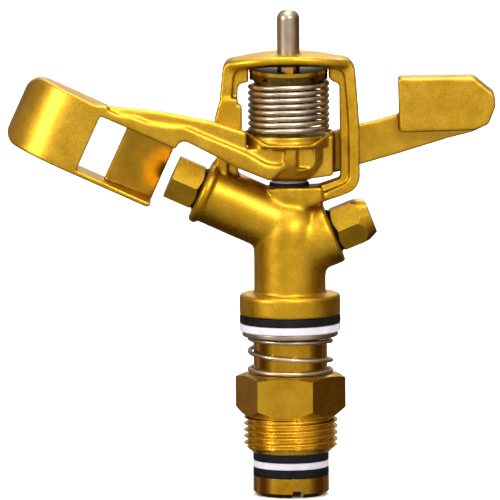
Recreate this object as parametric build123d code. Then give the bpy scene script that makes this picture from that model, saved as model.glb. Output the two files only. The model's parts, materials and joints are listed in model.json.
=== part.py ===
from build123d import *
import math
import os

os.makedirs("parts", exist_ok=True)

# ---------------------------------------------------------------- driving sizes (mm)
# Frame: +Z up the swivel axis, +X towards the counterweight, +Y towards the rear.
# Origin: swivel axis, middle of the inlet thread.

# inlet thread and hexagon (G 3/4, 27 mm across flats)
THREAD_R = 13.22
THREAD_ROOT_R = 12.06
THREAD_PITCH = 1.814
THREAD_TOP = 4.4
THREAD_BOTTOM = -3.3
NIPPLE_BOTTOM = -5.3
NIPPLE_END_R = 10.9
HEX_AF = 27.0
HEX_BOTTOM = 5.0
HEX_TOP = 17.0
HEX_TURN = -6.7
SLEEVE_R = 10.4
SLEEVE_TOP = 25.9
BEARING_R = 8.2

# bearing spring
BSPRING_WIRE = 1.25
BSPRING_R = 12.1
BSPRING_TOP = 27.5

# washers above the spring
WASHER_BORE = 8.35
STEEL_WASHER_R = 13.5
STEEL_WASHER_T = 1.5
UPPER_SEAL_R = 14.2
UPPER_PTFE_T = 2.2
UPPER_RUBBER_T = 2.3

# stem tube and the seals under the nipple
STEM_R = 8.1
STEM_BORE = 6.0
STEM_TOP = 46.0
STEM_FLANGE_R = 10.67
STEM_FLANGE_TOP = -12.0
STEM_BOTTOM = -17.5
LOWER_SEAL_R = 10.67
SEAL_1_BOTTOM = -7.6
SEAL_2_BOTTOM = -9.5
SLOT_W = 3.15
SLOT_D = 2.0
SLOT_TURN = 10.6

# body casting
FLANGE_R = 14.2
FLANGE_BOTTOM = 33.5
FLANGE_TOP = 39.5
TUBE_R = 10.1
MAIN_Z = 57.75
MAIN_ANGLE = 24.5
MAIN_R = 8.6
COLLAR_R = 9.5
COLLAR_START = 24.6
COLLAR_END = 27.3
REAR_Z = 52.0
REAR_ANGLE = 22.0
REAR_R = 9.1
REAR_END = 13.4
BOSS_R = 6.6
BOSS_TOP = 69.9
BEAD_HALF = 5.0
WEB_HALF = 3.5
BRIDGE_DEPTH = 10.8
BRIDGE_T = 2.6
BRIDGE_CROWN = 107.25

# nozzles
NOZZLE_AF = 12.0
SHANK_R = 4.86
SHANK_HOLE_R = 4.9
MAIN_HEX_START = 27.75
MAIN_HEX_END = 36.2
MAIN_CLOCK = 31.0
REAR_HEX_START = 13.9
REAR_HEX_END = 24.6

# fulcrum pin, retainer and return spring
PIN_R = 3.175
PIN_HOLE_R = 3.195
PIN_BOTTOM = 64.6
PIN_TOP = 119.5
RETAINER_R = 11.05
RETAINER_BOTTOM = 101.3
RETAINER_TOP = 102.3
SPRING_R = 11.5
SPRING_WIRE = 1.45
SPRING_PITCH = 1.71
SPRING_Z0 = 85.45
SPRING_TURNS = 7.95
SPRING_START = 90.0

# arm
HUB_R = 11.5
HUB_BOTTOM = 71.25
HUB_RIM = 82.15
DRUM_R = 10.9
DRUM_TOP = 84.6
BUSH_R = 4.5
BUSH_BORE = 3.225
BEAM_FRONT = -11.0
BEAM_BACK = -5.8
PLATE_FRONT = 5.6
PLATE_BACK = 9.6


# ---------------------------------------------------------------- helpers
def rpoly(*pts):
    """Closed flat outline; a third number on a point is its corner radius."""
    n = len(pts)
    corner = []
    for i in range(n):
        a, p, b = pts[i - 1], pts[i], pts[(i + 1) % n]
        r = p[2] if len(p) > 2 else 0
        pv = Vector(p[0], p[1])
        if r <= 0:
            corner.append((pv, None, pv))
            continue
        da = (Vector(a[0], a[1]) - pv).normalized()
        db = (Vector(b[0], b[1]) - pv).normalized()
        ang = math.acos(max(-1, min(1, da.dot(db))))
        d = r / math.tan(ang / 2)
        bis = (da + db).normalized()
        mid = pv + bis * (r / math.sin(ang / 2) - r)
        corner.append((pv + da * d, mid, pv + db * d))
    edges = []
    for i in range(n):
        t1, mid, t2 = corner[i]
        if mid is not None:
            edges.append(ThreePointArc(t1, mid, t2))
        nxt = corner[(i + 1) % n][0]
        if (nxt - t2).length > 1e-5:
            edges.append(Line(t2, nxt))
    return make_face(edges)


def slab(face, y0, y1):
    """An X-Z outline made solid from y0 to y1."""
    pl = Plane(origin=(0, y1, 0), x_dir=(1, 0, 0), z_dir=(0, -1, 0))
    return extrude(pl * face, amount=y1 - y0, dir=(0, -1, 0))


def cyl(r, z0, z1, x=0, y=0):
    return Pos(x, y, (z0 + z1) / 2) * Cylinder(r, z1 - z0)


def box(x0, x1, y0, y1, z0, z1):
    return Pos((x0 + x1) / 2, (y0 + y1) / 2, (z0 + z1) / 2) * Box(x1 - x0, y1 - y0, z1 - z0)


def spin(*pts):
    """Radius-height outline turned about Z."""
    f = rpoly(*pts)
    return revolve(Plane.XZ * f, Axis.Z)


def ring(r1, r0, z0, z1, edge=0.0):
    e = edge
    if e <= 0:
        return spin((r0, z0), (r1, z0), (r1, z1), (r0, z1))
    return spin((r0, z0), (r1, z0, e), (r1, z1, e), (r0, z1))


def hexagon(af, z0, z1, turn):
    r = af / math.sqrt(3)
    f = RegularPolygon(radius=r, side_count=6)
    return Pos(0, 0, z0) * (Rot(0, 0, turn) * extrude(f, amount=z1 - z0, dir=(0, 0, 1)))


def along(z0, angle, left):
    """Local +Z laid along a branch: up by the angle, to -X if left."""
    tilt = -(90 - angle) if left else (90 - angle)
    return Pos(0, 0, z0) * Rot(0, tilt, 0)


def save(shape, name):
    shape.label = name
    export_step(shape, "parts/" + name + ".step")


MAIN = along(MAIN_Z, MAIN_ANGLE, True)
REAR = along(REAR_Z, REAR_ANGLE, False)

# ---------------------------------------------------------------- bearing nipple
prof = [(BEARING_R, NIPPLE_BOTTOM), (NIPPLE_END_R, NIPPLE_BOTTOM)]


def lead_in(z):
    # the thread's lead-in cone at the bottom end
    return NIPPLE_END_R + (THREAD_R - NIPPLE_END_R) * (z - NIPPLE_BOTTOM) / (THREAD_BOTTOM - NIPPLE_BOTTOM)


land = 0.34
flank = (THREAD_PITCH - land) / 2 - 0.12
z = THREAD_BOTTOM - 0.05
prof.append((THREAD_ROOT_R - 0.25, NIPPLE_BOTTOM + 0.55))
prof.append((THREAD_ROOT_R - 0.25, NIPPLE_BOTTOM + 0.95))
crests = 0
z = THREAD_BOTTOM
while z + land <= THREAD_TOP + 0.01:
    prof += [(THREAD_R, z), (THREAD_R, z + land)]
    z += THREAD_PITCH
    crests += 1
    if z + land <= THREAD_TOP + 0.01:
        prof += [(THREAD_ROOT_R, z - flank - 0.24), (THREAD_ROOT_R, z - flank)]
last_crest = z - THREAD_PITCH + land
prof += [(THREAD_ROOT_R, last_crest + flank), (THREAD_ROOT_R, HEX_BOTTOM + 0.5),
         (SLEEVE_R, HEX_BOTTOM + 0.5), (SLEEVE_R, SLEEVE_TOP), (BEARING_R, SLEEVE_TOP)]
thread_body = spin(*prof)
HEX_R = HEX_AF / math.sqrt(3)
hex_body = hexagon(HEX_AF, HEX_BOTTOM, HEX_TOP, HEX_TURN)
hex_cone = spin((BEARING_R, HEX_BOTTOM), (12.9, HEX_BOTTOM), (HEX_R + 0.05, HEX_BOTTOM + 2.4),
                (HEX_R + 0.05, HEX_TOP - 1.25), (12.5, HEX_TOP), (BEARING_R, HEX_TOP))
bearing_nipple = thread_body + (hex_body & hex_cone)
save(bearing_nipple, "bearing_nipple")
print("thread from", THREAD_BOTTOM, "to", round(last_crest, 3), "crests", crests)


# ---------------------------------------------------------------- springs
def coil(mean_r, wire, z_of_turn, turns, start_deg, left=False, per_turn=16):
    n = max(int(turns * per_turn), 8)
    pts = []
    for i in range(n + 1):
        t = turns * i / n
        a = math.radians(start_deg) + (-1 if left else 1) * 2 * math.pi * t
        pts.append((mean_r * math.cos(a), mean_r * math.sin(a), z_of_turn(t)))
    path = Spline(*pts)
    prof_plane = Plane(origin=path @ 0, z_dir=path % 0)
    return sweep(prof_plane * Circle(wire / 2), path=path), pts


B_TURNS = 2.75
B_LOW = HEX_TOP + BSPRING_WIRE / 2 + 0.02
B_HIGH = BSPRING_TOP - BSPRING_WIRE / 2 - 0.02
B_END = 0.62
B_FLAT = 0.5


def b_height(t):
    # closed turns at both ends, open pitch between them
    mid = B_TURNS - 2 * B_END
    rise = (B_HIGH - B_LOW - 2 * B_FLAT) / mid
    if t < B_END:
        return B_LOW + B_FLAT * (t / B_END) ** 2
    if t > B_TURNS - B_END:
        return B_HIGH - B_FLAT * ((B_TURNS - t) / B_END) ** 2
    return B_LOW + B_FLAT + rise * (t - B_END)


bearing_spring, _ = coil(BSPRING_R - BSPRING_WIRE / 2, BSPRING_WIRE, b_height, B_TURNS, 18, left=True)
save(bearing_spring, "bearing_spring")

spring_mean = SPRING_R - SPRING_WIRE / 2
arm_spring, spring_pts = coil(spring_mean, SPRING_WIRE, lambda t: SPRING_Z0 + SPRING_PITCH * t,
                              SPRING_TURNS, SPRING_START)
x0, y0, z0 = spring_pts[0]
x1, y1, z1 = spring_pts[-1]
TAIL_LOW = 80.0
TAIL_HIGH = RETAINER_TOP - 0.3
arm_spring = arm_spring + cyl(SPRING_WIRE / 2, TAIL_LOW, z0, x0, y0) + cyl(SPRING_WIRE / 2, z1, TAIL_HIGH, x1, y1)
arm_spring = arm_spring + Pos(x0, y0, z0) * Sphere(SPRING_WIRE / 2) + Pos(x1, y1, z1) * Sphere(SPRING_WIRE / 2)
save(arm_spring, "arm_spring")
print("spring tails", (round(x0, 2), round(y0, 2)), (round(x1, 2), round(y1, 2)), round(z1, 2))

# ---------------------------------------------------------------- washers above the spring
z_a = BSPRING_TOP
spring_washer = ring(STEEL_WASHER_R, WASHER_BORE, z_a, z_a + STEEL_WASHER_T, 0.45)
save(spring_washer, "spring_washer")
z_b = z_a + STEEL_WASHER_T
# a film of clearance: this washer turns on the steel one
upper_ptfe = ring(UPPER_SEAL_R, WASHER_BORE, z_b + 0.04, z_b + UPPER_PTFE_T, 0.35)
save(upper_ptfe, "upper_ptfe_washer")
z_c = z_b + UPPER_PTFE_T
upper_rubber = ring(UPPER_SEAL_R, STEM_R + 0.02, z_c, FLANGE_BOTTOM, 0.4)
save(upper_rubber, "upper_rubber_washer")

# ---------------------------------------------------------------- stem tube and lower seals
stem = spin((STEM_BORE, STEM_BOTTOM), (STEM_FLANGE_R - 1.2, STEM_BOTTOM), (STEM_FLANGE_R, STEM_BOTTOM + 1.2),
            (STEM_FLANGE_R, STEM_FLANGE_TOP), (STEM_R, STEM_FLANGE_TOP), (STEM_R, STEM_TOP), (STEM_BORE, STEM_TOP))
stem = stem - Rot(0, 0, SLOT_TURN) * box(-SLOT_W / 2, SLOT_W / 2, -15, 15, STEM_BOTTOM - 1, STEM_BOTTOM + SLOT_D)
save(stem, "stem_tube")
save(ring(LOWER_SEAL_R, STEM_R + 0.02, SEAL_1_BOTTOM, NIPPLE_BOTTOM, 0.45), "lower_rubber_washer_a")
save(ring(LOWER_SEAL_R, STEM_R + 0.02, SEAL_2_BOTTOM, SEAL_1_BOTTOM, 0.25), "lower_ptfe_washer")
save(ring(LOWER_SEAL_R, STEM_R + 0.02, STEM_FLANGE_TOP, SEAL_2_BOTTOM, 0.45), "lower_rubber_washer_b")

# ---------------------------------------------------------------- body casting
flange = spin((0, FLANGE_BOTTOM), (FLANGE_R, FLANGE_BOTTOM, 0.3), (FLANGE_R, FLANGE_TOP, 1.0), (0, FLANGE_TOP))
body = flange + cyl(TUBE_R, FLANGE_TOP - 1, 56.5)
body += Pos(0, 0, 56.5) * Sphere(TUBE_R - 0.05)
body += MAIN * cyl(MAIN_R, 0, COLLAR_START + 1)
body += MAIN * spin((0, COLLAR_START), (COLLAR_R, COLLAR_START, 1.1), (COLLAR_R, COLLAR_END, 1.1), (0, COLLAR_END))
body += REAR * spin((0, 0), (REAR_R, 0), (REAR_R, REAR_END - 0.5), (REAR_R - 0.5, REAR_END), (0, REAR_END))

# swept fillet between the upright tube and the rear branch, under the branch
fil_r = 4.2
d2 = (math.cos(math.radians(REAR_ANGLE)), math.sin(math.radians(REAR_ANGLE)))
body += slab(rpoly((6.0, 42.5), (TUBE_R - 0.15, 42.5), (TUBE_R + 0.15, 47.6), (15.0, 49.4), (10, 54), (4, 52)), -3.2, 3.2) - (
    slab(rpoly((TUBE_R, 40.0), (22.0, 40.0), (22.0, 48.0 + 2.5), (15.5, 48.5), (TUBE_R, 46.3, fil_r)), -6, 6))

# crotch between the tubes, under the fulcrum boss
body += slab(rpoly((-6.4, 69.5), (9.0, 69.9), (9.6, 65.6), (-0.6, 62.6, 1.0)), -6.1, 6.1)
body += cyl(BOSS_R, 66.5, BOSS_TOP)

# bridge frame: outer bead, recessed inner web
outer = rpoly((-20.3, 70.0), (-20.4, 76.0), (-19.4, 94.0), (-18.15, 105.8, 3.6), (0, 106.9, 150), (18.45, 106.0, 4.4),
              (19.75, 88.0, 60), (19.85, 69.3, 5.2), (9.6, 65.5, 12), (1.5, 63.6), (-3.0, 64.0), (-9.0, 69.0))
bead_in = rpoly((-17.2, 68.0), (-17.2, 76.0), (-16.1, 94.0), (-15.2, 102.9, 2.2), (0, 104.2, 150), (15.5, 103.1, 2.6),
                (16.75, 88.0, 60), (16.85, 71.2, 3.0), (9.6, 68.2, 10), (3.0, 66.4), (-3.0, 66.4), (-9.0, 70.0))
window = rpoly((-14.3, 68.0), (-14.3, 99.2, 2.0), (-11.2, 99.2), (-11.2, 104.0), (11.2, 104.0), (11.2, 99.9), (12.2, 99.9), (12.2, 99.2),
               (14.2, 99.2, 1.4), (14.3, 72.1, 1.0), (7.4, 69.85), (-7.4, 69.85), (-10, 68.0))
frame_bead = slab(outer, -BEAD_HALF, BEAD_HALF) - slab(bead_in, -BEAD_HALF - 1, BEAD_HALF + 1)
web_outer = rpoly((-18.9, 68.0), (-18.0, 94.0), (-17.2, 104.6, 3.2), (17.4, 104.6, 3.8), (18.5, 88.0), (18.6, 70.4, 4.0),
                  (9.6, 66.7), (2.0, 65.0), (-9.0, 66.0))
frame_web = slab(web_outer, -WEB_HALF, WEB_HALF) - slab(window, -WEB_HALF - 1, WEB_HALF + 1)


# lens-shaped, slightly arched plate across the top, widest round the pin
def bridge_plate():
    drop = 1.9
    half = 17.3
    low = BRIDGE_CROWN - BRIDGE_T
    side = make_face([ThreePointArc((-half, BRIDGE_CROWN - drop), (0, BRIDGE_CROWN), (half, BRIDGE_CROWN - drop)),
                      Line((half, BRIDGE_CROWN - drop), (half, low - drop)),
                      ThreePointArc((half, low - drop), (0, low), (-half, low - drop)),
                      Line((-half, low - drop), (-half, BRIDGE_CROWN - drop))])
    w = BEAD_HALF - 0.1
    plan = make_face([Line((-half, w), (-half, -w)), ThreePointArc((-half, -w), (0, -BRIDGE_DEPTH), (half, -w)),
                      Line((half, -w), (half, w)), ThreePointArc((half, w), (0, BRIDGE_DEPTH), (-half, w))])
    plate = slab(side, -BRIDGE_DEPTH - 1, BRIDGE_DEPTH + 1) & extrude(Pos(0, 0, 95) * plan, amount=20, dir=(0, 0, 1))
    long_edges = [e for e in plate.edges() if e.length > 30]
    return fillet(long_edges, 1.05)


top_plate = bridge_plate()
cut_low = slab(rpoly((-40, 60), (-9.5, 60), (-9.5, 75), (-40, 62)), -20, 20)
body += frame_bead
body += frame_web
body += top_plate

# anvil pad on the left leg, facing the arm
pad = slab(rpoly((-19.0, 95.0), (-20.75, 89.2), (-20.9, 79.5), (-14.3, 79.5), (-14.3, 95.0)), -5.6, 3.5)
pad += slab(rpoly((-20.0, 79.5), (-13.1, 79.5), (-13.1, 93.3, 0.5), (-20.0, 93.3)), -5.6, -2.2)
body += pad

# water passages
body -= cyl(STEM_R + 0.02, FLANGE_BOTTOM - 1, STEM_TOP + 0.05)
body -= cyl(7.2, STEM_TOP - 1, 55.0) + Pos(0, 0, 55.0) * Sphere(7.2)
body -= MAIN * cyl(5.6, 0, 18.05)
body -= MAIN * cyl(SHANK_HOLE_R, 18, 40)
body -= REAR * cyl(4.4, 0, 5.05)
body -= REAR * cyl(SHANK_HOLE_R, 5, 20)
# fulcrum pin holes
body -= cyl(PIN_HOLE_R, PIN_BOTTOM - 0.05, 72)
body -= cyl(PIN_HOLE_R, 100, 112)
# dimple between the crotch and the rear branch
body -= Pos(6.6, -8.6, 62.6) * Rot(0, 20, 0) * Box(3.4, 2.4, 1.5)
print("body solids", len(body.solids()), round(body.volume, 1), body.is_valid)
save(body, "body_casting")


# ---------------------------------------------------------------- nozzles and their seals
def nozzle(start, end, clock, shank_from, seal_face, mouth_r, long_chamfer):
    r6 = NOZZLE_AF / math.sqrt(3)
    hx = hexagon(NOZZLE_AF, start, end, clock)
    if long_chamfer:
        env = spin((0, start), (5.8, start), (r6 + 0.05, start + 1.0), (r6 + 0.05, end - 4.2),
                   (4.9, end), (0, end))
    else:
        env = spin((0, start), (5.8, start), (r6 + 0.05, start + 0.9), (r6 + 0.05, end - 0.35), (6.5, end), (0, end))
    n = (hx & env) + cyl(SHANK_R, shank_from, start + 1)
    n -= spin((0, shank_from - 1), (4.0, shank_from - 1), (4.0, shank_from + 2), (mouth_r, end - 3), (mouth_r, end + 1), (0, end + 1))
    return n


main_nozzle = MAIN * nozzle(MAIN_HEX_START, MAIN_HEX_END, MAIN_CLOCK, 18.1, COLLAR_END, 2.4, False)
rear_nozzle = REAR * nozzle(REAR_HEX_START, REAR_HEX_END, 30.0, 5.2, REAR_END, 1.8, True)
save(main_nozzle, "main_nozzle")
save(rear_nozzle, "rear_nozzle")
save(MAIN * ring(6.2, SHANK_R + 0.02, COLLAR_END, MAIN_HEX_START, 0.2), "main_nozzle_seal")
save(REAR * ring(6.3, SHANK_R + 0.02, REAR_END, REAR_HEX_START, 0.18), "rear_nozzle_seal")

# ---------------------------------------------------------------- fulcrum pin, retainer, thrust washers
pin = spin((0, PIN_BOTTOM), (PIN_R - 0.4, PIN_BOTTOM), (PIN_R, PIN_BOTTOM + 0.4), (PIN_R, PIN_TOP, 2.6), (0, PIN_TOP))
save(pin, "fulcrum_pin")

# slightly bowed disc, its two ends turned up under the bridge
BOW = 0.8
bow = make_face([ThreePointArc((-11.5, RETAINER_BOTTOM + BOW), (0, RETAINER_BOTTOM), (11.5, RETAINER_BOTTOM + BOW)),
                 Line((11.5, RETAINER_BOTTOM + BOW), (11.5, RETAINER_TOP + BOW)),
                 ThreePointArc((11.5, RETAINER_TOP + BOW), (0, RETAINER_TOP), (-11.5, RETAINER_TOP + BOW)),
                 Line((-11.5, RETAINER_TOP + BOW), (-11.5, RETAINER_BOTTOM + BOW))])
retainer = slab(bow, -12, 12) & cyl(RETAINER_R, 95, 110)
crown = ring(10.95, 7.6, 99.95, RETAINER_BOTTOM + 1.2) & slab(rpoly((-12, 95), (12, 95), (12, RETAINER_BOTTOM + 0.9), (0, RETAINER_BOTTOM + 0.5), (-12, RETAINER_BOTTOM + 0.9)), -12, 12)
for k in range(10):
    crown -= Rot(0, 0, 36 * k + 18) * box(6.5, 11.5, -0.9, 0.9, 98.5, 100.9)
retainer += crown
# skirt inside the coil
retainer += ring(9.75, 7.6, 98.6, 100.6)
retainer += cyl(4.6, 99.95, RETAINER_BOTTOM + 0.4)
retainer += box(-0.95, 1.2, -8.2, -6.2, RETAINER_TOP - 0.5, 104.0)
tail_a = math.degrees(math.atan2(y1, x1))
retainer -= Rot(0, 0, tail_a) * box(spring_mean - SPRING_WIRE / 2 - 0.12, 14, -SPRING_WIRE / 2 - 0.12, SPRING_WIRE / 2 + 0.12, 98, 104)
retainer -= cyl(PIN_HOLE_R, 90, 110)
print("retainer solids", len(retainer.solids()), retainer.is_valid)
save(retainer, "spring_retainer")

save(ring(5.6, PIN_HOLE_R, BOSS_TOP, BOSS_TOP + 1.0, 0.15), "arm_rubber_washer")
save(ring(5.0, PIN_HOLE_R, BOSS_TOP + 1.0, 71.2, 0.06), "arm_ptfe_washer")

# ---------------------------------------------------------------- arm casting
hub = spin((BUSH_R, HUB_BOTTOM), (5.0, HUB_BOTTOM), (9.2, 73.1, 4.0), (HUB_R, 77.2, 4.0), (HUB_R, HUB_RIM - 0.7),
           (HUB_R + 0.55, HUB_RIM - 0.45, 0.15), (HUB_R + 0.55, HUB_RIM + 0.3, 0.3), (DRUM_R, HUB_RIM + 0.3), (DRUM_R, DRUM_TOP), (BUSH_R, DRUM_TOP))
arm = hub
# raised collar round the spring seat, cut away in a V at the front
collar = ring(12.75, 11.8, HUB_RIM - 0.6, 85.5)
collar -= slab(rpoly((-6.0, 82.45), (6.2, 82.45), (13.4, 86.2), (13.4, 90), (-13.4, 90), (-13.2, 86.2)), -14, 0)
arm += collar

# left beam, in front of the left leg
beam = rpoly((-53.0, 93.9), (-48.5, 93.3, 12), (-36.3, 92.1, 60), (-21.0, 89.0), (-12.45, 86.2), (-4.8, 82.4), (-2.0, 81.6),
             (-1.5, 75.5), (-5.2, 72.1), (-14.3, 75.8), (-20.25, 79.05), (-28.2, 83.2), (-30.2, 84.2, 2.0), (-31.5, 81.8), (-33.3, 82.95),
             (-36.5, 84.3), (-45.3, 88.3), (-52.0, 91.3))
arm += slab(beam, BEAM_FRONT, BEAM_BACK)
# pocket: the thin upper web stands back from the raised lower rail
pocket = rpoly((-50.5, 91.6), (-43.6, 90.65, 8), (-39.5, 89.05, 6), (-34.2, 88.05, 6), (-28.8, 87.65, 4), (-23.5, 85.25, 6), (-11.5, 80.15, 10),
               (-7.25, 77.55, 4), (-5.2, 76.75, 2), (-1.6, 76.6, 1.1), (-1.0, 81.0, 0.4), (-4.6, 81.0), (-4.6, 83.0), (-12.0, 90), (-36, 96), (-50.5, 98))
arm -= slab(pocket, BEAM_FRONT - 3, BEAM_FRONT + 1.15)
# above the rim the beam runs out into the round of the hub
arm -= slab(rpoly((-11.9, 81.2), (0.5, 81.2), (0.5, 90), (-11.9, 90)), -14, 0) - cyl(HUB_R + 0.02, 75, 95)
arm += ring(HUB_R + 0.55, HUB_R - 0.5, HUB_RIM - 0.4, HUB_RIM + 0.3, 0.2)
arm += collar
# block on the right where the other beam is rooted
block = slab(rpoly((3.0, 71.9), (12.4, 73.2, 0.6), (12.4, 84.55), (9.0, 83.6), (6.2, 82.3), (3.0, 82.0)), -6.4, PLATE_BACK)
arm += block & cyl(13.75, 60, 95)

# spoon, drawn in (distance along the jet, height across it)
SPOON_Y0 = -11.0
SPOON_Y1 = 5.0
T0, T1 = 38.7, 83.7
N0, N1 = -9.8, 10.75
d1 = Vector(-math.cos(math.radians(MAIN_ANGLE)), 0, math.sin(math.radians(MAIN_ANGLE)))
SP = Plane(origin=(0, SPOON_Y1 + 4, MAIN_Z), x_dir=d1, z_dir=(0, -1, 0))


def tn(t, n, *r):
    # +n must point upwards on the sheet
    return (t, n * TN_SIGN) + r


TN_SIGN = 1 if SP.y_dir.Z > 0 else -1
outline = rpoly(tn(T0, N0, 1.0), tn(T1, N0, 3.6), tn(T1, N1, 4.9), tn(T0, N1))
spoon = extrude(SP * outline, amount=SPOON_Y1 + 4 - SPOON_Y0, dir=(0, -1, 0))

# (distance along the jet, depth) sheet, made solid across the jet
u1 = Vector(math.sin(math.radians(MAIN_ANGLE)), 0, math.cos(math.radians(MAIN_ANGLE)))


def deep(face, n0, n1):
    o = Vector(0, 0, MAIN_Z) + u1 * n0
    pl = Plane(origin=o, x_dir=d1, z_dir=d1.cross(Vector(0, 1, 0)))
    return extrude(pl * face, amount=n1 - n0, dir=u1)


R_OUT, C_T, C_Y = 18.0, 66.0, 7.0


def arc_pts(r, a0, a1, n=2):
    return [(C_T + r * math.sin(math.radians(a)), C_Y - r * math.cos(math.radians(a))) for a in (a0, (a0 + a1) / 2, a1)]


a_end = math.degrees(math.asin((T1 - C_T) / R_OUT))
o1, om, o2 = arc_pts(R_OUT, 0, a_end + 4)
env = make_face([Line((T0 - 5, SPOON_Y0), o1), ThreePointArc(o1, om, o2), Line(o2, (T1 + 3, 7.0)), Line((T1 + 3, 7.0), (T1 - 1.5, 5.5)),
                 Line((T1 - 1.5, 5.5), (60.0, 4.6)), Line((60.0, 4.6), (T0 - 5, 4.6)), Line((T0 - 5, 4.6), (T0 - 5, SPOON_Y0))])
spoon = spoon & deep(env, -20, 30)
i1, im, i2 = arc_pts(R_OUT - 2.4, 0, 84)
inner = make_face([Line((61.6, SPOON_Y0 + 2.4), i1), ThreePointArc(i1, im, i2), Line(i2, (i2[0], 12)), Line((i2[0], 12), (61.6, 12)),
                   Line((61.6, 12), (61.6, SPOON_Y0 + 2.4))])
NW0, NW1 = -8.2, 8.25
spoon -= deep(inner, NW0, NW1 + 0.6)
spoon -= deep(rpoly((T0 - 6, -14), (61.7, -14), (61.7, 12), (T0 - 6, 12)), NW0, NW1)
vane = deep(rpoly((53.4, -4.2), (53.5, -2.6), (51.6, -1.2), (T0 + 0.05, 4.4), (T0 + 0.05, 2.3), (50.9, -3.2)), NW0 - 0.8, NW1 + 1.0)
arm += spoon + vane

# right beam, behind the right leg, and the counterweight cast with it
plate = rpoly((4.5, 73.2), (7.6, 71.7), (14.25, 73.1), (20.0, 75.0), (30.7, 78.0), (44.9, 82.3), (51.7, 84.0), (56.0, 86.0), (50, 91.5), (30.4, 89.0),
              (24.9, 87.4, 20), (19.95, 86.4, 20), (12.45, 84.4), (6, 81.5))
arm += slab(plate, PLATE_FRONT, PLATE_BACK)
weight = rpoly((30.75, 99.9, 0.8), (51.9, 100.1, 2.0), (57.8, 95.3, 2.0), (58.1, 91.9, 1.5), (56.1, 86.7, 2.5), (51.95, 85.1, 3.0), (31.1, 84.6, 0.8))
arm += slab(weight, -1.0, PLATE_BACK)

# slot in the front of the hub, notch at the back for the lower spring tail
arm -= box(2.3, 7.0, -14, -8.55, 75.6, 81.3)
arm -= box(x0 - 0.9, x0 + 0.9, y0 - 0.9, 14, 79.4, 90)
# bore for the bushes
arm -= cyl(BUSH_R, 60, 90)
# room for the spring above the seat
arm -= cyl(11.78, DRUM_TOP, 90)
print("arm solids", len(arm.solids()), round(arm.volume, 1), arm.is_valid)
save(arm, "arm_casting")
save(ring(BUSH_R, BUSH_BORE, HUB_BOTTOM, 76.2), "arm_bush_lower")
save(ring(BUSH_R, BUSH_BORE, 79.8, DRUM_TOP), "arm_bush_upper")
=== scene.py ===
import json
import math

import bmesh
import bpy
import numpy as np
from mathutils import Matrix, Vector


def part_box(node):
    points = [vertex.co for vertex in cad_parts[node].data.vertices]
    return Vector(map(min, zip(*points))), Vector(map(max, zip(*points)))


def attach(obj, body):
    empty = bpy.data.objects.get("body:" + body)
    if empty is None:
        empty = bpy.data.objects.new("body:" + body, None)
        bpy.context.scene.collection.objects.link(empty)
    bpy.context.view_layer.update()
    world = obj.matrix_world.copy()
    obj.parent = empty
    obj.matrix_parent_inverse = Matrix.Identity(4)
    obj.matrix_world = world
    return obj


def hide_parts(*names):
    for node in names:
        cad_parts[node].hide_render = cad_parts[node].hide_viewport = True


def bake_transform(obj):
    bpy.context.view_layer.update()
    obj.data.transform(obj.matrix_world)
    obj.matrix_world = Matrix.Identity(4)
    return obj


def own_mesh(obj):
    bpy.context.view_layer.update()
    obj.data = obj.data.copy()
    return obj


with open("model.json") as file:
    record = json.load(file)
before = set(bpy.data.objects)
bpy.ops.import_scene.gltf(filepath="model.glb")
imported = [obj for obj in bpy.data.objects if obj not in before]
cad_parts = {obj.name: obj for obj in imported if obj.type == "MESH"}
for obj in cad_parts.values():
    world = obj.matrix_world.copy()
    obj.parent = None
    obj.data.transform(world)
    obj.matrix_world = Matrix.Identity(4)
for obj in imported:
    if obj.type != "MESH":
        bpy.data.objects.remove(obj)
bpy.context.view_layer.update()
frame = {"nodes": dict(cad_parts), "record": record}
nodes = frame["nodes"]
record = frame["record"]
MM = 0.001


# ------------------------------------------------------------------ materials
def new_mat(name):
    m = bpy.data.materials.new(name)
    m.use_nodes = True
    nt = m.node_tree
    bsdf = nt.nodes.get("Principled BSDF")
    tc = nt.nodes.new("ShaderNodeTexCoord")
    return m, nt, bsdf, tc


def noise(nt, tc, scale, detail=3.0, rough=0.55, stretch=None):
    n = nt.nodes.new("ShaderNodeTexNoise")
    n.inputs["Scale"].default_value = scale
    n.inputs["Detail"].default_value = detail
    n.inputs["Roughness"].default_value = rough
    if stretch:
        mp = nt.nodes.new("ShaderNodeMapping")
        mp.inputs["Scale"].default_value = stretch
        nt.links.new(tc.outputs["Object"], mp.inputs["Vector"])
        nt.links.new(mp.outputs["Vector"], n.inputs["Vector"])
    else:
        nt.links.new(tc.outputs["Object"], n.inputs["Vector"])
    return n


def ramp(nt, src, stops):
    r = nt.nodes.new("ShaderNodeValToRGB")
    els = r.color_ramp.elements
    els[0].position, els[0].color = stops[0][0], (*stops[0][1], 1)
    els[1].position, els[1].color = stops[-1][0], (*stops[-1][1], 1)
    for p, c in stops[1:-1]:
        e = els.new(p)
        e.color = (*c, 1)
    nt.links.new(src, r.inputs["Fac"])
    return r


def mix_col(nt, a, b, fac, mode="MIX"):
    m = nt.nodes.new("ShaderNodeMix")
    m.data_type = "RGBA"
    m.blend_type = mode
    if isinstance(fac, float):
        m.inputs[0].default_value = fac
    else:
        nt.links.new(fac, m.inputs[0])
    nt.links.new(a, m.inputs[6])
    nt.links.new(b, m.inputs[7])
    return m.outputs[2]


def to_range(nt, src, lo, hi, a=0.3, b=0.7):
    r = nt.nodes.new("ShaderNodeMapRange")
    r.inputs["From Min"].default_value = a
    r.inputs["From Max"].default_value = b
    r.inputs["To Min"].default_value = lo
    r.inputs["To Max"].default_value = hi
    nt.links.new(src, r.inputs["Value"])
    return r.outputs["Result"]


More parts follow.
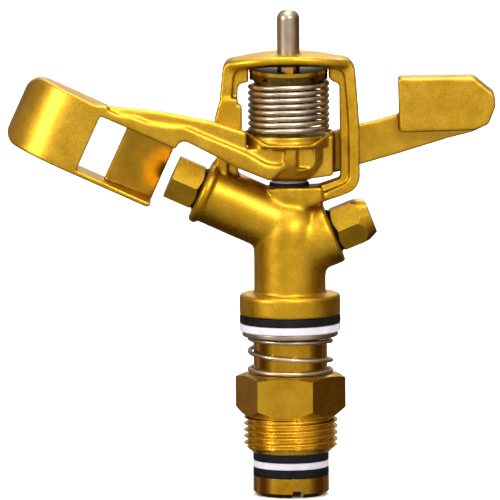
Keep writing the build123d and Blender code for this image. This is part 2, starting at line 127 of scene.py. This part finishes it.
def bump(nt, bsdf, parts):
    """parts: list of (height socket, strength, distance in metres)"""
    last = None
    for h, s, d in parts:
        b = nt.nodes.new("ShaderNodeBump")
        b.inputs["Strength"].default_value = s
        b.inputs["Distance"].default_value = d
        nt.links.new(h, b.inputs["Height"])
        if last is not None:
            nt.links.new(last, b.inputs["Normal"])
        last = b.outputs["Normal"]
    nt.links.new(last, bsdf.inputs["Normal"])


def brass(name, stops, rough=(0.3, 0.46), grain=1900.0, grain_s=0.35, brush=None, brush_s=0.3, mottled=150.0,
          metallic=1.0, coat=0.18, fleck=0.8):
    m, nt, bsdf, tc = new_mat(name)
    big = noise(nt, tc, mottled, 3.0, 0.6)
    fine = noise(nt, tc, grain, 2.0, 0.5)
    colour = ramp(nt, big.outputs["Fac"], stops)
    speck = ramp(nt, fine.outputs["Fac"], [(0.3, (0.74, 0.69, 0.58)), (0.62, (1.0, 1.0, 1.0))])
    out = mix_col(nt, colour.outputs["Color"], speck.outputs["Color"], fleck, "MULTIPLY")
    nt.links.new(out, bsdf.inputs["Base Color"])
    bsdf.inputs["Metallic"].default_value = metallic
    bsdf.inputs["Coat Weight"].default_value = coat
    bsdf.inputs["Coat Roughness"].default_value = 0.32
    nt.links.new(to_range(nt, fine.outputs["Fac"], rough[0], rough[1]), bsdf.inputs["Roughness"])
    heights = [(big.outputs["Fac"], 0.25, 0.00018), (fine.outputs["Fac"], grain_s, 0.00005)]
    if brush:
        lines = noise(nt, tc, 1.0, 3.0, 0.6, brush)
        heights.append((lines.outputs["Fac"], brush_s, 0.00005))
    bump(nt, bsdf, heights)
    return m


GOLD = [(0.30, (0.52, 0.29, 0.007)), (0.5, (0.62, 0.355, 0.012)), (0.7, (0.72, 0.43, 0.026))]
BAR = [(0.30, (0.46, 0.25, 0.007)), (0.5, (0.55, 0.31, 0.012)), (0.7, (0.62, 0.37, 0.024))]
# painted shade: a dark brown brass for the spring retainer, standing for the shadow under the bridge
PAINTED_SHADE_STOPS = [(0.30, (0.09, 0.055, 0.012)), (0.5, (0.13, 0.08, 0.016)), (0.7, (0.19, 0.12, 0.025))]
cast = brass("cast_brass_satin", GOLD, (0.34, 0.5), grain=2700.0, grain_s=0.5)
cast_arm = brass("cast_brass_brushed", GOLD, (0.32, 0.48), grain=2700.0, grain_s=0.45, coat=0.32, brush=(2200.0, 900.0, 260.0), brush_s=0.22)
turned = brass("turned_brass", BAR, (0.17, 0.27), grain=2600.0, grain_s=0.15, brush=(90.0, 90.0, 7000.0), brush_s=0.25, coat=0.15)
painted_shade_mat = brass("painted_shade_brass", PAINTED_SHADE_STOPS, (0.3, 0.42), grain=2600.0, grain_s=0.15, coat=0.1)
hex_brass = brass("hex_bar_brass", BAR, (0.26, 0.40), grain=2400.0, grain_s=0.2, brush=(4200.0, 4200.0, 60.0), brush_s=0.3, coat=0.15, fleck=0.3)


def steel(name, stops, rough, brush):
    m, nt, bsdf, tc = new_mat(name)
    big = noise(nt, tc, 200.0, 2.0)
    fine = noise(nt, tc, 1.0, 3.0, 0.6, brush)
    colour = ramp(nt, big.outputs["Fac"], stops)
    nt.links.new(colour.outputs["Color"], bsdf.inputs["Base Color"])
    bsdf.inputs["Metallic"].default_value = 1.0
    nt.links.new(to_range(nt, fine.outputs["Fac"], rough[0], rough[1]), bsdf.inputs["Roughness"])
    bump(nt, bsdf, [(fine.outputs["Fac"], 0.25, 0.00004)])
    return m


spring_steel = steel("spring_wire_steel", [(0.3, (0.42, 0.34, 0.23)), (0.7, (0.68, 0.58, 0.44))], (0.26, 0.40), (1500.0, 1500.0, 1500.0))
pin_steel = steel("ground_pin_steel", [(0.3, (0.34, 0.27, 0.19)), (0.7, (0.48, 0.40, 0.30))], (0.32, 0.46), (300.0, 300.0, 5200.0))


def plain(name, stops, rough, grain=1600.0, spec=0.5, bump_s=0.3):
    m, nt, bsdf, tc = new_mat(name)
    big = noise(nt, tc, 260.0, 3.0)
    fine = noise(nt, tc, grain, 2.0)
    colour = ramp(nt, big.outputs["Fac"], stops)
    nt.links.new(colour.outputs["Color"], bsdf.inputs["Base Color"])
    nt.links.new(to_range(nt, fine.outputs["Fac"], rough[0], rough[1]), bsdf.inputs["Roughness"])
    bsdf.inputs["Specular IOR Level"].default_value = spec
    bump(nt, bsdf, [(fine.outputs["Fac"], bump_s, 0.00004)])
    return m


rubber = plain("black_rubber_mat", [(0.3, (0.003, 0.003, 0.004)), (0.7, (0.008, 0.008, 0.010))], (0.45, 0.65), spec=0.1)
ptfe = plain("white_ptfe_mat", [(0.3, (0.46, 0.44, 0.49)), (0.7, (0.56, 0.54, 0.60))], (0.35, 0.5), bump_s=0.12)
acetal = plain("acetal_bush_mat", [(0.3, (0.62, 0.58, 0.50)), (0.7, (0.72, 0.68, 0.60))], (0.35, 0.5), bump_s=0.12)


def wear(obj, mat):
    obj.data.materials.clear()
    obj.data.materials.append(mat)


for n, m in {
    "bearing_nipple": hex_brass, "bearing_spring": spring_steel, "spring_washer": pin_steel, "upper_ptfe_washer": ptfe,
    "upper_rubber_washer": rubber, "stem_tube": turned, "lower_rubber_washer_a": rubber, "lower_ptfe_washer": ptfe,
    "lower_rubber_washer_b": rubber, "body_casting": cast, "main_nozzle": hex_brass, "main_nozzle_seal": rubber,
    "rear_nozzle": hex_brass, "rear_nozzle_seal": rubber, "fulcrum_pin": pin_steel, "spring_retainer": painted_shade_mat,
    "arm_spring": spring_steel, "arm_rubber_washer": rubber, "arm_ptfe_washer": ptfe, "arm_casting": cast_arm,
    "arm_bush_lower": acetal, "arm_bush_upper": acetal,
}.items():
    wear(nodes[n], m)


# ------------------------------------------------------------------ mesh helpers
def add(mesh, name, mat, body, slot, *stands_for):
    o = bpy.data.objects.new(name, mesh)
    bpy.context.scene.collection.objects.link(o)
    mesh.materials.clear()
    mesh.materials.append(mat)
    if body:
        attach(o, body)
    if stands_for:
        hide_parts(*stands_for)
    return o


def welded(node):
    """A copy of a CAD node's mesh with its faces joined along their shared edges."""
    bm = bmesh.new()
    bm.from_mesh(nodes[node].data)
    bmesh.ops.remove_doubles(bm, verts=bm.verts, dist=2e-6)
    bmesh.ops.dissolve_degenerate(bm, edges=bm.edges, dist=1e-7)
    return bm


def smooth(co, edges, rounds, weight, factor=0.5):
    n = len(co)
    deg = np.bincount(edges.ravel(), minlength=n).astype(float)[:, None]
    w = np.asarray(weight)[:, None] * factor
    a, b = edges[:, 0], edges[:, 1]
    for _ in range(rounds):
        acc = np.zeros_like(co)
        for k in range(3):
            acc[:, k] = np.bincount(a, co[b, k], n) + np.bincount(b, co[a, k], n)
        co = co + w * (acc / deg - co)
    return co


def cast_copy(node, voxel, passes, mat, body, slot):
    """A casting: the CAD solid with its edges and corners run together as molten metal leaves them.
    passes: list of (rounds, weight function of the points in mm)."""
    bm = welded(node)
    src = bpy.data.meshes.new(node + "_src")
    bm.to_mesh(src)
    bm.free()
    tmp = bpy.data.objects.new(node + "_tmp", src)
    bpy.context.scene.collection.objects.link(tmp)
    r = tmp.modifiers.new("r", "REMESH")
    r.mode = "VOXEL"
    r.voxel_size = voxel
    r.adaptivity = 0.0
    dg = bpy.context.evaluated_depsgraph_get()
    me = bpy.data.meshes.new_from_object(tmp.evaluated_get(dg))
    bpy.data.objects.remove(tmp)
    n = len(me.vertices)
    co = np.zeros(n * 3)
    me.vertices.foreach_get("co", co)
    co = co.reshape(-1, 3)
    ed = np.zeros(len(me.edges) * 2, int)
    me.edges.foreach_get("vertices", ed)
    ed = ed.reshape(-1, 2)
    rest = co.copy()
    for rounds, wf in passes:
        co = smooth(co, ed, rounds, wf(rest / MM))
    me.vertices.foreach_set("co", co.ravel())
    me.update()
    me.name = node + "_cast"
    o = add(me, node + "_cast", mat, body, slot, node)
    for p in me.polygons:
        p.use_smooth = True
    return o


def band(v, a, b, soft):
    """1 between a and b, falling to 0 over soft outside."""
    return np.clip(1 - np.maximum(a - v, v - b) / soft, 0, 1)


def bevelled(node, width, mat, body, slot, angle=25, segments=3):
    """A machined piece with its corners broken."""
    bm = welded(node)
    bmesh.ops.dissolve_limit(bm, angle_limit=math.radians(0.8), verts=bm.verts, edges=bm.edges)
    me = bpy.data.meshes.new(node + "_turned")
    bm.to_mesh(me)
    bm.free()
    o = add(me, node + "_turned", mat, body, slot, node)
    b = o.modifiers.new("bevel", "BEVEL")
    b.width = width
    b.segments = segments
    b.limit_method = "ANGLE"
    b.angle_limit = math.radians(angle)
    b.harden_normals = True
    for p in me.polygons:
        p.use_smooth = True
    me.set_sharp_from_angle(angle=math.radians(24))
    return o


def tube(path, radius, sides=14, cap=True):
    """A round wire along a list of points, as a mesh."""
    p = np.array(path, float)
    n = len(p)
    t = np.gradient(p, axis=0)
    t /= np.linalg.norm(t, axis=1)[:, None]
    ref = np.cross(t[0], (0.3, 0.5, 0.81))
    ref /= np.linalg.norm(ref)
    verts, faces = [], []
    for i in range(n):
        ref = ref - t[i] * ref.dot(t[i])
        ref /= np.linalg.norm(ref)
        q = np.cross(t[i], ref)
        for k in range(sides):
            a = 2 * math.pi * k / sides
            verts.append(p[i] + radius * (math.cos(a) * ref + math.sin(a) * q))
    for i in range(n - 1):
        for k in range(sides):
            a, b = i * sides + k, i * sides + (k + 1) % sides
            faces.append((a, b, b + sides, a + sides))
    if cap:
        faces.append(tuple(range(sides))[::-1])
        faces.append(tuple(range((n - 1) * sides, n * sides)))
    me = bpy.data.meshes.new("wire")
    me.from_pydata([tuple(v) for v in verts], [], faces)
    me.update()
    for f in me.polygons:
        f.use_smooth = True
    me.set_sharp_from_angle(angle=math.radians(60))
    return me


# ------------------------------------------------------------------ castings
voxel = 0.00026
k = (voxel / 0.00026) ** 2


def body_w(p):
    # the same weight everywhere, a light overall rounding; the tubes' junction is blended most by body_joint
    x, z = p[:, 0], p[:, 2]
    return np.full(len(p), 1.0)


def body_joint(p):
    x, y, z = p[:, 0], p[:, 1], p[:, 2]
    dimple = np.sqrt((x - 6.6) ** 2 + (y + 8.6) ** 2 + (z - 62.6) ** 2)
    return band(z, 44.0, 66.0, 3.0) * band(x, -13.5, 11.0, 2.5) * np.clip((dimple - 2.4) / 1.6, 0.05, 1)


def body_frame(p):
    # the bridge frame is a rounder casting than the flange
    return band(p[:, 2], 74.0, 110.0, 3.0)


def rounds(n):
    return max(2, int(n / k))


body_cast = cast_copy("body_casting", voxel, [(rounds(60), body_joint), (rounds(8), body_frame), (rounds(10), body_w)], cast, "head", "cast_brass")


def arm_w(p):
    return np.full(len(p), 1.0)


def arm_root(p):
    # where the left beam, the hub and the right beam run into one another
    x, y, z = p[:, 0], p[:, 1], p[:, 2]
    return band(x, -12.0, 1.0, 3.0) * band(z, 68.0, 79.5, 1.5) + band(x, -48.0, -13.0, 2.0) * band(z, 60.0, 95.0, 1.0) * 0.5


arm_cast = cast_copy("arm_casting", voxel, [(rounds(26), arm_root), (rounds(11), arm_w)], cast_arm, "arm", "cast_brass")

# ------------------------------------------------------------------ machined pieces
bevelled("main_nozzle", 0.00014, hex_brass, "head", "machined_brass")
bevelled("rear_nozzle", 0.00014, hex_brass, "head", "machined_brass")
bevelled("stem_tube", 0.00012, turned, "head", "machined_brass")
ret = bevelled("spring_retainer", 0.0001, painted_shade_mat, "head", "machined_brass")
# the disc's rim and the lug keep the turned brass and catch the light; the crown under it is painted dark brown as
# painted shade
ret.data.materials.append(turned)
for f in ret.data.polygons:
    r = math.hypot(f.center.x, f.center.y)
    if (r > 10.97 * MM and f.center.z > 101.0 * MM) or (f.center.z > 102.45 * MM and 6.0 * MM < r < 8.6 * MM and abs(f.center.x) < 1.3 * MM):
        f.material_index = 1

# ------------------------------------------------------------------ nipple with its helical thread
lo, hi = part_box("bearing_nipple")
mount = next(m for m in record["mounts"] if m["name"] == "inlet_thread")
CREST = mount["dims"]["r_mm"] * MM
PITCH = 1.814 * MM
ROOT = CREST - 1.16 * MM
END_R = 10.9 * MM
Z_LOW = lo.z
CUT = 5.02 * MM
bm = welded("bearing_nipple")
bmesh.ops.dissolve_limit(bm, angle_limit=math.radians(0.5), verts=bm.verts, edges=bm.edges)
geom = list(bm.verts) + list(bm.edges) + list(bm.faces)
bmesh.ops.bisect_plane(bm, geom=geom, dist=1e-8, plane_co=(0, 0, CUT), plane_no=(0, 0, -1), clear_outer=True)
top_me = bpy.data.meshes.new("bearing_nipple_hex")
bm.to_mesh(top_me)
bm.free()

TH = 240
zs = np.arange(Z_LOW, CUT + 0.4 * MM, 0.05 * MM)
ang = np.linspace(0, 2 * math.pi, TH, endpoint=False)
verts, faces = [], []


def thread_r(z, a):
    """Thread outline at a height and angle: right-handed, one turn per pitch."""
    s = ((z - a / (2 * math.pi) * PITCH) / PITCH) % 1.0
    d = abs(s - 0.5) * 2
    r = CREST - (CREST - ROOT) * min(1.0, max(0.0, (0.86 - d) / 0.70))
    # lead-in cone at the end, runout under the hexagon
    cone = END_R + (CREST - END_R) * (z - Z_LOW) / (2.0 * MM)
    r = min(r, cone)
    if z > 4.45 * MM:
        r = min(r, ROOT + 0.05 * MM + max(0.0, (r - ROOT)) * max(0.0, 1 - (z - 4.45 * MM) / (0.3 * MM)))
    if z < Z_LOW + 1.1 * MM:
        r = min(r, max(END_R, cone))
    return r


rows = []
for z in zs:
    row = []
    for a in ang:
        r = thread_r(z, a)
        row.append(len(verts))
        verts.append((r * math.cos(a), r * math.sin(a), z))
    rows.append(row)
for i in range(len(rows) - 1):
    for j in range(TH):
        j2 = (j + 1) % TH
        faces.append((rows[i][j], rows[i][j2], rows[i + 1][j2], rows[i + 1][j]))
bore = []
for z in (zs[0], zs[-1]):
    row = []
    for a in ang:
        row.append(len(verts))
        verts.append((8.2 * MM * math.cos(a), 8.2 * MM * math.sin(a), z))
    bore.append(row)
for j in range(TH):
    j2 = (j + 1) % TH
    faces.append((bore[0][j2], bore[0][j], bore[1][j], bore[1][j2]))
    faces.append((rows[0][j2], rows[0][j], bore[0][j], bore[0][j2]))
    faces.append((rows[-1][j], rows[-1][j2], bore[1][j2], bore[1][j]))
thread_me = bpy.data.meshes.new("inlet_thread_mesh")
thread_me.from_pydata(verts, [], faces)
thread_me.update()
for f in thread_me.polygons:
    f.use_smooth = True
thread_me.set_sharp_from_angle(angle=math.radians(80))
thread_brass = steel("thread_brass", [(0.3, (0.78, 0.49, 0.035)), (0.7, (0.92, 0.62, 0.07))], (0.24, 0.30), (60.0, 60.0, 300.0))
add(thread_me, "inlet_thread", thread_brass, "base", "machined_brass")
hexo = add(top_me, "bearing_nipple_hex", hex_brass, "base", "machined_brass", "bearing_nipple")
bv = hexo.modifiers.new("bevel", "BEVEL")
bv.width = 0.00018
bv.segments = 3
bv.limit_method = "ANGLE"
bv.angle_limit = math.radians(12)
bv.harden_normals = True
# the sleeve above the hexagon is turned smoother than the hexagon's bar
top_me.materials.append(turned)
for f in top_me.polygons:
    f.use_smooth = True
    if math.hypot(f.center.x, f.center.y) < 11.6 * MM and f.center.z > 17.05 * MM:
        f.material_index = 1
top_me.set_sharp_from_angle(angle=math.radians(10))

# ------------------------------------------------------------------ springs
blo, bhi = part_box("bearing_spring")
wire = 1.25 * MM
R = (bhi.x - blo.x) / 2 - wire / 2
z_lo, z_hi = blo.z + wire / 2, bhi.z - wire / 2
TURNS, END, FLAT = 2.75, 0.62, 0.5 * MM


def b_height(t):
    rise = (z_hi - z_lo - 2 * FLAT) / (TURNS - 2 * END)
    if t < END:
        return z_lo + FLAT * (t / END) ** 2
    if t > TURNS - END:
        return z_hi - FLAT * ((TURNS - t) / END) ** 2
    return z_lo + FLAT + rise * (t - END)


pts = []
for i in range(301):
    t = TURNS * i / 300
    a = math.radians(18) - 2 * math.pi * t
    pts.append((R * math.cos(a), R * math.sin(a), b_height(t)))
bs = add(tube(pts, wire / 2), "bearing_spring_wire", spring_steel, "base", "stainless", "bearing_spring")
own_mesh(bs)

slo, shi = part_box("arm_spring")
wire = 1.45 * MM
R = 11.5 * MM - wire / 2
P0, PP, NT, A0 = 85.45 * MM, 1.71 * MM, 7.95, math.radians(90.0)
pts = []
tail_lo = slo.z
bend = 1.1 * MM
for z in np.linspace(tail_lo, P0 - bend, 8)[:-1]:
    pts.append((R * math.cos(A0), R * math.sin(A0), z))
for q in np.linspace(0, 1, 7)[:-1]:
    a = A0 + q * q * bend / R
    pts.append((R * math.cos(a), R * math.sin(a), P0 - bend + bend * (2 * q - q * q)))
n = 520
for i in range(n + 1):
    t = NT * i / n
    a = A0 + bend / R + (2 * math.pi * NT - 2 * bend / R) * i / n
    pts.append((R * math.cos(a), R * math.sin(a), P0 + PP * t))
A1, Z1 = A0 + 2 * math.pi * NT, P0 + PP * NT
for q in np.linspace(0, 1, 7)[1:]:
    a = A1 - bend / R + (2 * q - q * q) * bend / R
    pts.append((R * math.cos(a), R * math.sin(a), Z1 + q * q * bend))
for z in np.linspace(Z1 + bend, shi.z, 5)[1:]:
    pts.append((R * math.cos(A1), R * math.sin(A1), z))
coil_o = add(tube(pts, wire / 2), "arm_spring_wire", spring_steel, None, "stainless", "arm_spring")
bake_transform(coil_o)

# ------------------------------------------------------------------ stage
floor_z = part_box("stem_tube")[0].z
fm, fnt, fb, ftc = new_mat("studio_floor")
fn = noise(fnt, ftc, 3.0, 2.0)
fr = ramp(fnt, fn.outputs["Fac"], [(0.3, (0.86, 0.86, 0.85)), (0.7, (0.90, 0.90, 0.89))])
fnt.links.new(fr.outputs["Color"], fb.inputs["Base Color"])
fb.inputs["Roughness"].default_value = 0.8
sv = [(-4.0, -3.5, floor_z), (4.0, -3.5, floor_z), (4.0, 3.5, floor_z), (-4.0, 3.5, floor_z)]
sf = [(0, 1, 2, 3)]
sm = bpy.data.meshes.new("studio_floor")
sm.from_pydata(sv, [], sf)
sm.update()
for f in sm.polygons:
    f.use_smooth = True
floor = bpy.data.objects.new("studio_floor", sm)
bpy.context.scene.collection.objects.link(floor)
sm.materials.append(fm)
floor.visible_glossy = False


def area(name, loc, aim, size, power, colour=(1, 1, 1), size_y=None):
    d = bpy.data.lights.new(name, "AREA")
    d.energy = power
    d.color = colour
    d.shape = "RECTANGLE" if size_y else "SQUARE"
    d.size = size
    if size_y:
        d.size_y = size_y
    o = bpy.data.objects.new(name, d)
    bpy.context.scene.collection.objects.link(o)
    o.location = loc
    o.rotation_euler = (Vector(aim) - Vector(loc)).to_track_quat("-Z", "Y").to_euler()
    return o


mid = (-0.01, 0, 0.06)
area("key", (0.32, -1.0, 0.66), mid, 0.26, 5.5, (1.0, 0.985, 0.98))
area("left", (-0.95, -0.62, 0.42), mid, 0.30, 6.0, (1.0, 0.99, 1.0))
area("top", (-0.05, -0.12, 1.1), mid, 0.6, 9.0)
area("back", (0.1, 0.9, 0.8), mid, 0.5, 3.0)
# evens out the floor behind the object; not mirrored in the metal
wash = area("floor_wash", (0.0, 2.0, 1.6), (0.0, 2.0, 0.0), 3.0, 75.0)
wash.visible_glossy = False

w = bpy.data.worlds.new("studio")
bpy.context.scene.world = w
w.use_nodes = True
wn = w.node_tree
bg = wn.nodes["Background"]
wt = wn.nodes.new("ShaderNodeTexCoord")
sep = wn.nodes.new("ShaderNodeSeparateXYZ")
wn.links.new(wt.outputs["Generated"], sep.inputs["Vector"])


def world_ramp(socket, stops):
    mr = wn.nodes.new("ShaderNodeMapRange")
    mr.inputs["From Min"].default_value = -1.0
    mr.inputs["From Max"].default_value = 1.0
    wn.links.new(sep.outputs[socket], mr.inputs["Value"])
    r = wn.nodes.new("ShaderNodeValToRGB")
    els = r.color_ramp.elements
    els[0].position, els[0].color = stops[0][0], (*stops[0][1], 1)
    els[1].position, els[1].color = stops[-1][0], (*stops[-1][1], 1)
    for pos, c in stops[1:-1]:
        e = els.new(pos)
        e.color = (*c, 1)
    wn.links.new(mr.outputs["Result"], r.inputs["Fac"])
    return r.outputs["Color"]


# dark low down and at the sides, pale overhead, a pale screen on the near side
up = world_ramp("Z", [(0.0, (0.03, 0.020, 0.013)), (0.46, (0.11, 0.050, 0.030)), (0.55, (0.16, 0.095, 0.065)), (0.64, (0.23, 0.215, 0.20)), (1.0, (0.85, 0.85, 0.86))])
near = world_ramp("Y", [(0.0, (0.95, 0.94, 0.93)), (0.22, (0.58, 0.57, 0.56)), (0.36, (0.14, 0.13, 0.125)), (0.48, (0.0, 0.0, 0.0)), (0.88, (0.0, 0.0, 0.0)), (1.0, (0.45, 0.44, 0.43))])
# two tall soft screens, left and right, that turned surfaces mirror as upright bands
bands = world_ramp("X", [(0.02, (0.0, 0.0, 0.0)), (0.085, (0.58, 0.44, 0.33)), (0.150, (0.0, 0.0, 0.0)), (0.865, (0.0, 0.0, 0.0)), (0.90, (0.34, 0.27, 0.20)), (0.935, (0.0, 0.0, 0.0))])


def world_add(a, b):
    m = wn.nodes.new("ShaderNodeMix")
    m.data_type = "RGBA"
    m.blend_type = "ADD"
    m.inputs[0].default_value = 1.0
    wn.links.new(a, m.inputs[6])
    wn.links.new(b, m.inputs[7])
    return m.outputs[2]


wn.links.new(world_add(world_add(up, near), bands), bg.inputs["Color"])
bg.inputs["Strength"].default_value = 0.8

bpy.context.scene.view_settings.view_transform = "Standard"

# ------------------------------------------------------------------ camera
DIST = 2.75
WIDTH = 0.1405
ELEV = math.radians(6.8)
aim = Vector((-0.01114, 0.0, 0.0517))
back = Vector((0.0, -math.cos(ELEV), math.sin(ELEV)))
cd = bpy.data.cameras.new("camera")
cd.sensor_width = 36.0
cd.lens = 36.0 * DIST / WIDTH
cd.clip_start = 0.1
cd.clip_end = 20.0
cam = bpy.data.objects.new("camera", cd)
bpy.context.scene.collection.objects.link(cam)
cam.location = aim + back * DIST
q = (-back).to_track_quat("-Z", "Y")
roll = Matrix.Rotation(math.radians(-0.41), 4, "Z")
cam.matrix_world = Matrix.Translation(cam.location) @ q.to_matrix().to_4x4() @ roll
bpy.context.scene.camera = cam
